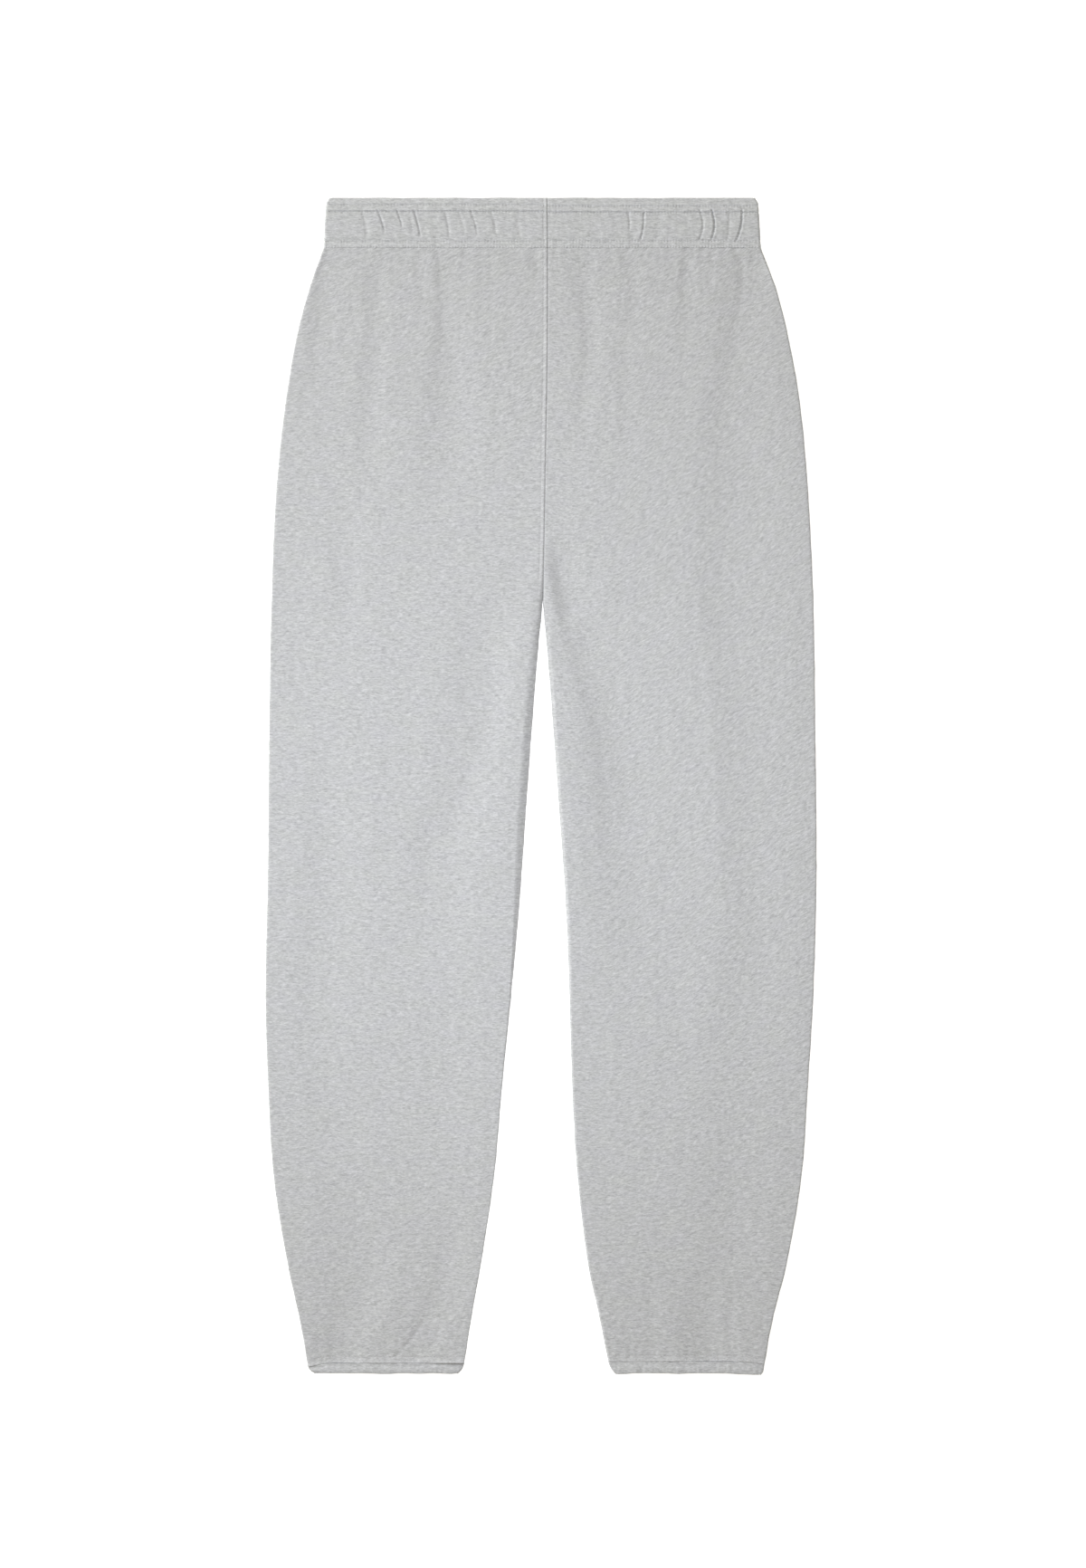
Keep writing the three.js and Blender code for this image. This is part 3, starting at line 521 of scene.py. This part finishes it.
# ankle casings: x of the outer and the inner end at the seam and at the fold
hem = {
    "cloth": 3.1, "hollow": 0.6, "shell": 1.2, "turnUnder": 5,
    "ends": {-1: ((-206.4, -203.2), (-67.8, -70.6)), 1: ((198.0, 196.4), (59.4, 62.0))},
    "corners": {-1: (7, 7), 1: (4.2, 9.8)},  # outer, inner
    "height": 9.3, "pucker": 0.26, "roll": 0.62,
    # how far the fold hangs below its line, x by x
    "sag": {
        -1: [(-204, 0), (-165, 0), (-150, 0.2), (-141, 0.7), (-134, 0.6), (-126, 0), (-114, 0.1), (-107, 0.5),
             (-100, 0), (-90, 0.1), (-79, 0.6), (-72, 0)],
        1: [(63, 0.4), (68, 0.9), (76, 0.5), (82, 0), (112, 0.1), (122, 0.7), (130, 0.1), (150, 0.1),
            (164, 0.2), (176, 0.9), (188, 1.4), (196, 1.4)],
    },
    "columnStep": 0.75, "frontStep": 2,
    "width": 130,  # that the columns are counted over
}


def hemRelief(side, x, h):
    lift = hem["pucker"] * (cloud(x / 3.0, h / 12, 7 + side) + 0.6 * cloud(x / 1.4, h / 6, 9 + side))
    roll = hem["roll"] * (smooth(h / 6) - 0.45 * smooth((h - 5) / 6))
    return lift * smooth(h / 3) + 0.3 * bell(h / 1.6) + roll


def hemPoint(side, h, depth, turn, share):  # turn 0 on the back, 1 on the front, 2 the back again
    halfHeight = hem["cloth"] + hem["hollow"] / 2
    height = hem["height"]
    ends = []
    for (atSeam, atFold), corner, outward in zip(hem["ends"][side], hem["corners"][side], (-1, 1)):
        drawn = atSeam + (atFold - atSeam) * h / height
        ends.append(drawn + outward * side * (cornerInset(corner, height - h) + halfHeight * cut["squeeze"]))
    outer, inner = ends
    x = outer + (inner - outer) * share
    outX, outZ = np.sin(turn * np.pi) * -side, np.cos(turn * np.pi)
    onTop = (1 + outZ) / 2
    rounding = 1 - smooth(depth / (hem["cloth"] * 0.5))
    under = (hemRelief(side, x + 90, h) - 0.3).clip(-1, 0) * (1 - onTop)
    radius = halfHeight - depth + (hemRelief(side, x, h) * onTop + under) * rounding
    end = np.abs(follow(sideSeam[side], cut["ankleY"]))
    dip = legFinish["ankleDip"][side] * smooth((np.abs(x) - end) / legFinish["dipReach"] + 1)
    sag = np.interp(x, *zip(*hem["sag"][side])) + 0.15 * cloud(x / 9, onTop * 2, 11 + side)
    settled = (legFinish["ankleShift"][side] - dip) * (1 - smooth(h / height))
    y = cut["ankleY"] - h - sag * smooth(h / height) + settled
    return np.stack([x + outX * radius * cut["squeeze"], y, halfHeight + outZ * radius], 1)


def hemPiece(name, side):
    height = hem["height"]
    rows = spread(cut["buttGap"] / 2, [(2, 0.4), (height, 0.6)])
    profile = casingProfile(height, hem["cloth"], rows, hem["turnUnder"])[::-1]
    # each column round the tube: turn, share across from the outer end
    columns = [(0, share) for share in np.linspace(0, 1, round(hem["width"] / hem["columnStep"]))]
    columns += [(turn, 1) for turn in np.linspace(0, 1, 11)[1:]]
    columns += [(1, share) for share in np.linspace(1, 0, 1 + round(hem["width"] / hem["frontStep"]))[1:]]
    columns += [(turn, 0) for turn in np.linspace(1, 2, 11)[1:]]
    columns = np.array(columns if side < 0 else columns[::-1])

    def shape(i, j):
        h, depth = profile[j].T
        places = hemPoint(side, h, depth, *columns[i].T)
        along = places[:, 0] * np.where(columns[i, 0] == 1, -1, 1)
        return places, np.stack([along, cut["ankleY"] - h - depth], 1)

    piece = gridPiece(name, len(columns), len(profile), shape, hem["shell"])
    bm = bmesh.new()  # the grid's first and last columns lie on each other
    bm.from_mesh(piece.data)
    bmesh.ops.remove_doubles(bm, verts=bm.verts, dist=0.02 * mm)
    bm.to_mesh(piece.data)
    bm.free()
    return piece


# sewing thread laid along rows of places in mm
thread = {"pitch": 2.8, "length": 2.3, "width": 0.5, "height": 0.42}


def threadRow(places):  # a matrix in metres for each stitch of a row
    run = np.concatenate([[0], np.cumsum(np.linalg.norm(np.diff(places, axis=0), axis=1))])
    stitches = []
    for middle in np.arange(thread["pitch"] / 2, run[-1], thread["pitch"]):
        start, end = [
            Vector([np.interp(middle + reach, run, places[:, axis]) for axis in range(3)])
            for reach in (-thread["length"] / 2, thread["length"] / 2)
        ]
        turned = (end - start).to_track_quat("X", "Z").to_matrix().to_4x4()
        halves = [thread[key] / 2 * mm for key in ("length", "width", "height")]
        size = Matrix.Diagonal((*halves, 1))
        stitches.append(np.array(Matrix.Translation((start + end) / 2 * mm) @ turned @ size))
    return stitches


def threadPiece(name, rows, material):
    bm = bmesh.new()
    bmesh.ops.create_uvsphere(bm, u_segments=6, v_segments=4, radius=1)
    corners = np.array([(*vert.co, 1) for vert in bm.verts])
    faces = [[vert.index for vert in face.verts] for face in bm.faces]
    bm.free()
    stitches = [stitch for places in rows for stitch in threadRow(places)]
    points = np.concatenate([(corners @ stitch.T)[:, :3] for stitch in stitches])
    joined = [[i + k * len(corners) for i in face] for k in range(len(stitches)) for face in faces]
    mesh = bpy.data.meshes.new(name)
    mesh.from_pydata(points.tolist(), [], joined)
    mesh.shade_smooth()
    mesh.materials.append(material)
    piece = bpy.data.objects.new(name, mesh)
    bpy.context.scene.collection.objects.link(piece)
    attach(piece, "root")
    return piece


def bandRows(side):
    columns = bandColumns(3, 3)[2:-2]
    rows = []
    for left, right, groove in band["stitchRows"]:
        heights = np.full(len(columns), left if side < 0 else right)
        rows.append(bandPoint(side, heights, heights * 0 + 0.05, *columns.T))
    return rows


def ankleRows(side):
    quarter = np.linspace(0, 1, 6)
    across = [(0, 0, 0, share) for share in np.linspace(0, 1, 60)]
    over = [(1 - q, 0, 0, 0) for q in quarter[:-1]] + across + [(0, q, 0, 1) for q in quarter[1:]]
    over = np.array(over)
    rows = []
    for above in legFinish["ankleRows"]:
        y = np.full(len(over), cut["ankleY"] + above)
        top = legPoint(side, True, y, *over.T, 0)
        below = legPoint(side, False, y, *over[::-1].T, 0)
        below[:, 2] += 0.1
        rows.append(np.concatenate([top, below, top[:1]]))
    return rows


def centreRows(back):  # the needle row beside the centre seam, over the waistband too
    inset = -legFinish["stitchInset"]
    y = np.arange(cut["crotchY"] + cut["crotchBlend"] * 0.6, cut["waistY"], 4)
    x = follow(centreSeam, y) + inset
    z = backTop(-1, x, y) if back else frontDent(-1, x, y) + 0.1
    h = np.linspace(0.5, 43, 20)
    column = [np.full(len(h), value) for value in (0 if back else 1, -inset, 0, 0 if back else 1)]
    onBand = bandPoint(-1, h, np.zeros(len(h)) + 0.05, *column)
    return [np.concatenate([np.stack([x, y, z], 1), onBand])]


# heather knit: streaked yarn colour and its relief, from the piece's grain map
def socket(group, name, kind, direction, value=None):
    made = group.interface.new_socket(name=name, in_out=direction, socket_type=kind)
    if value is not None:
        made.default_value = value


def heatherGroup():
    group = bpy.data.node_groups.new("heatherKnit", "ShaderNodeTree")
    socket(group, "Grain", "NodeSocketVector", "INPUT")
    socket(group, "Light Yarn", "NodeSocketColor", "INPUT", (0.5, 0.5, 0.5, 1))
    socket(group, "Dark Yarn", "NodeSocketColor", "INPUT", (0.3, 0.3, 0.3, 1))
    socket(group, "Streak Contrast", "NodeSocketFloat", "INPUT", 1.0)
    socket(group, "Color", "NodeSocketColor", "OUTPUT")
    socket(group, "Height", "NodeSocketFloat", "OUTPUT")
    nodes, links = group.nodes, group.links
    entry = nodes.new("NodeGroupInput")
    leave = nodes.new("NodeGroupOutput")

    # noise stretched along the courses, sizes in mm
    def streaks(length, thickness, detail, roughness, shift):
        scale = nodes.new("ShaderNodeMapping")
        scale.inputs["Scale"].default_value = (1000 / length, 1000 / thickness, 1)
        scale.inputs["Location"].default_value = (shift, shift * 1.7, shift)
        links.new(entry.outputs["Grain"], scale.inputs["Vector"])
        tex = nodes.new("ShaderNodeTexNoise")
        tex.inputs["Scale"].default_value = 1
        tex.inputs["Detail"].default_value = detail
        tex.inputs["Roughness"].default_value = roughness
        tex.inputs["Distortion"].default_value = 0.25
        links.new(scale.outputs["Vector"], tex.inputs["Vector"])
        return tex.outputs["Fac"]

    def combine(kind, a, b):
        node = nodes.new("ShaderNodeMath")
        node.operation = kind
        for entrySocket, value in zip(node.inputs, (a, b)):
            if isinstance(value, (int, float)):
                entrySocket.default_value = value
            else:
                links.new(value, entrySocket)
        return node.outputs[0]

    def weighted(value, weight):  # centred on 0
        return combine("MULTIPLY", combine("SUBTRACT", value, 0.5), weight)

    def blend(kind, factor, a, b):
        node = nodes.new("ShaderNodeMix")
        node.data_type = "RGBA"
        node.blend_type = kind
        entries = (node.inputs["Factor"], node.inputs[6], node.inputs[7])  # factor and the two colours
        for entrySocket, value in zip(entries, (factor, a, b)):
            if isinstance(value, (int, tuple)):
                entrySocket.default_value = value
            else:
                links.new(value, entrySocket)
        return node.outputs[2]

    fine = streaks(3.7, 0.95, 2, 0.6, 0)
    medium = streaks(7.5, 2.4, 2, 0.5, 7)
    broad = streaks(30, 20, 2, 0.5, 13)
    fibre = streaks(2.4, 0.6, 1, 0.5, 21)
    streaked = combine("ADD", weighted(fine, 1.5), weighted(medium, 1.0))
    flecked = combine("ADD", weighted(broad, 0.12), weighted(fibre, 0.9))
    total = combine("MULTIPLY", combine("ADD", streaked, flecked), entry.outputs["Streak Contrast"])
    yarn = blend("MIX", combine("ADD", total, 0.5), entry.outputs["Dark Yarn"], entry.outputs["Light Yarn"])
    # cool and warm patches of the blended fibres
    patch = combine("ADD", weighted(streaks(26, 14, 3, 0.6, 33), 2.2), 0.5)
    tint = blend("MIX", patch, (0.995, 1.0, 0.988, 1), (0.996, 0.992, 1.018, 1))
    links.new(blend("MULTIPLY", 1, yarn, tint), leave.inputs["Color"])
    ripple = streaks(7, 4.2, 2, 0.5, 41)
    links.new(combine("ADD", ripple, combine("MULTIPLY", fine, 0.35)), leave.inputs["Height"])
    return group


heather = heatherGroup()


def fleeceMaterial(name, light, dark):
    material = bpy.data.materials.new(name)
    material.use_nodes = True
    nodes, links = material.node_tree.nodes, material.node_tree.links
    shader = nodes["Principled BSDF"]
    shader.inputs["Roughness"].default_value = 0.92
    shader.inputs["Specular IOR Level"].default_value = 0.2
    shader.inputs["Sheen Weight"].default_value = 0.06
    shader.inputs["Sheen Roughness"].default_value = 0.6
    coords = nodes.new("ShaderNodeUVMap")
    coords.uv_map = "grain"
    knit = nodes.new("ShaderNodeGroup")
    knit.node_tree = heather
    knit.inputs["Light Yarn"].default_value = (*light, 1)
    knit.inputs["Dark Yarn"].default_value = (*dark, 1)
    knit.inputs["Streak Contrast"].default_value = yarns["contrast"]
    bump = nodes.new("ShaderNodeBump")
    bump.inputs["Strength"].default_value = 1
    bump.inputs["Distance"].default_value = yarns["ripple"] * mm
    links.new(coords.outputs["UV"], knit.inputs["Grain"])
    links.new(knit.outputs["Color"], shader.inputs["Base Color"])
    links.new(knit.outputs["Height"], bump.inputs["Height"])
    links.new(bump.outputs["Normal"], shader.inputs["Normal"])
    return material


def threadMaterial(name, colour, twist):  # spun thread: fine turns in the relief, slight flecks in the colour
    material = bpy.data.materials.new(name)
    material.use_nodes = True
    nodes, links = material.node_tree.nodes, material.node_tree.links
    shader = nodes["Principled BSDF"]
    shader.inputs["Roughness"].default_value = 0.7
    shader.inputs["Specular IOR Level"].default_value = 0.3
    coords = nodes.new("ShaderNodeTexCoord")
    flecks = nodes.new("ShaderNodeTexNoise")
    flecks.inputs["Scale"].default_value = 900
    links.new(coords.outputs["Object"], flecks.inputs["Vector"])
    ramp = nodes.new("ShaderNodeValToRGB")
    ramp.color_ramp.elements[0].color = (*[c * 0.85 for c in colour], 1)
    ramp.color_ramp.elements[1].color = (*[min(1, c * 1.12) for c in colour], 1)
    links.new(flecks.outputs["Fac"], ramp.inputs["Fac"])
    links.new(ramp.outputs["Color"], shader.inputs["Base Color"])
    turns = nodes.new("ShaderNodeTexWave")
    turns.bands_direction = "DIAGONAL"
    turns.inputs["Scale"].default_value = twist
    links.new(coords.outputs["Object"], turns.inputs["Vector"])
    bump = nodes.new("ShaderNodeBump")
    bump.inputs["Strength"].default_value = 0.5
    bump.inputs["Distance"].default_value = 0.05 * mm
    links.new(turns.outputs["Fac"], bump.inputs["Height"])
    links.new(bump.outputs["Normal"], shader.inputs["Normal"])
    return material


yarns = {
    "fleece": {"light": (0.504, 0.514, 0.514), "dark": (0.292, 0.298, 0.298)},
    "casing": {"light": (0.517, 0.529, 0.529), "dark": (0.298, 0.305, 0.305)},
    "contrast": 1.05, "ripple": 0.36,  # ripple in mm
    "thread": (0.45, 0.455, 0.455), "twist": 900,
}
fleece = fleeceMaterial("fleece", **yarns["fleece"])
casingFleece = fleeceMaterial("casingFleece", **yarns["casing"])
greyThread = threadMaterial("greyThread", yarns["thread"], yarns["twist"])
print("materials")


def finishPiece(piece, node, material):
    piece.data.materials.append(material)
    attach(piece, "root")
    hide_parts(node)


# a pale surface that stays white beside the cloth
floorLook = {"halfSize": 6, "below": 0.2, "grey": 0.9, "glow": 0.7}


def makeFloor():
    bm = bmesh.new()
    bmesh.ops.create_grid(bm, x_segments=1, y_segments=1, size=floorLook["halfSize"])
    bmesh.ops.translate(bm, verts=bm.verts, vec=(0, 0, -floorLook["below"] * mm))
    mesh = bpy.data.meshes.new("floor")
    bm.to_mesh(mesh)
    bm.free()
    look = bpy.data.materials.new("paleFloor")
    look.use_nodes = True
    shader = look.node_tree.nodes["Principled BSDF"]
    shader.inputs["Base Color"].default_value = (*[floorLook["grey"]] * 3, 1)
    shader.inputs["Emission Color"].default_value = (1, 1, 1, 1)
    shader.inputs["Emission Strength"].default_value = floorLook["glow"]
    shader.inputs["Roughness"].default_value = 0.9
    shader.inputs["Specular IOR Level"].default_value = 0.1
    mesh.materials.append(look)
    floor = bpy.data.objects.new("floor", mesh)
    bpy.context.scene.collection.objects.link(floor)


makeFloor()
centreBack = threadPiece("centre_back_stitches", centreRows(True), greyThread)
centreFront = threadPiece("centre_front_stitches", centreRows(False), greyThread)
for side, sideName in ((-1, "left"), (1, "right")):
    ankleThreads = threadPiece(f"ankle_{sideName}_stitches", ankleRows(side), greyThread)
    front = legPiece(f"front_{sideName}_cloth", side, back=False)
    finishPiece(front, f"front_{sideName}_leg", fleece)
    back = legPiece(f"back_{sideName}_cloth", side, back=True)
    finishPiece(back, f"back_{sideName}_leg", fleece)
    print("legs", sideName)
    waist = bandPiece(f"waistband_{sideName}_cloth", side)
    waistThreads = threadPiece(f"waistband_{sideName}_stitches", bandRows(side), greyThread)
    finishPiece(waist, f"waistband_{sideName}", casingFleece)
    ankle = hemPiece(f"hem_{sideName}_cloth", side)
    finishPiece(ankle, f"hem_{sideName}", casingFleece)
    print("waistband and hem", sideName)


# soft studio light: a bright surround, a lamp over the cloth and a low one at the upper left
lighting = {
    "surround": 0.426, "surroundColour": (1.09, 1, 0.84),
    "over": {
        "place": (-0.11, -0.017, 1.0), "aim": (-0.055, -0.008, 0), "size": 0.5, "power": 7.4,
        "colour": (0.957, 1, 1.125),
    },
    "low": {"place": (-3.72, 2.46, 1.8), "aim": (0, 0, 0), "size": 1.8, "power": 216, "colour": (1, 1, 1)},
}


def addLamp(name, values):
    data = bpy.data.lights.new(name, "AREA")
    data.size = values["size"]
    data.energy = values["power"]
    data.color = values["colour"]
    lamp = bpy.data.objects.new(name, data)
    lamp.location = values["place"]
    towards = Vector(values["aim"]) - Vector(values["place"])
    lamp.rotation_euler = towards.to_track_quat("-Z", "Y").to_euler()
    lamp.visible_camera = False
    bpy.context.scene.collection.objects.link(lamp)


addLamp("overLamp", lighting["over"])
addLamp("lowLamp", lighting["low"])
world = bpy.data.worlds.new("surround")
bpy.context.scene.world = world
world.use_nodes = True
world.node_tree.nodes["Background"].inputs["Color"].default_value = (*lighting["surroundColour"], 1)
world.node_tree.nodes["Background"].inputs["Strength"].default_value = lighting["surround"]
bpy.context.scene.view_settings.view_transform = "Standard"

# straight down, framed as the photograph: 1732 px are 1.3867 m on the cloth
camera = {"lens": 120, "sensor": 36, "frameHeight": 1.3867, "over": (0.0018, 0.0020), "clothTop": 0.0068}
cameraData = bpy.data.cameras.new("camera")
cameraData.lens = camera["lens"]
cameraData.sensor_width = camera["sensor"]
cameraObject = bpy.data.objects.new("camera", cameraData)
distance = camera["frameHeight"] * camera["lens"] / camera["sensor"]
cameraObject.location = (*camera["over"], camera["clothTop"] + distance)
bpy.context.scene.collection.objects.link(cameraObject)
bpy.context.scene.camera = cameraObject
print("light and camera")
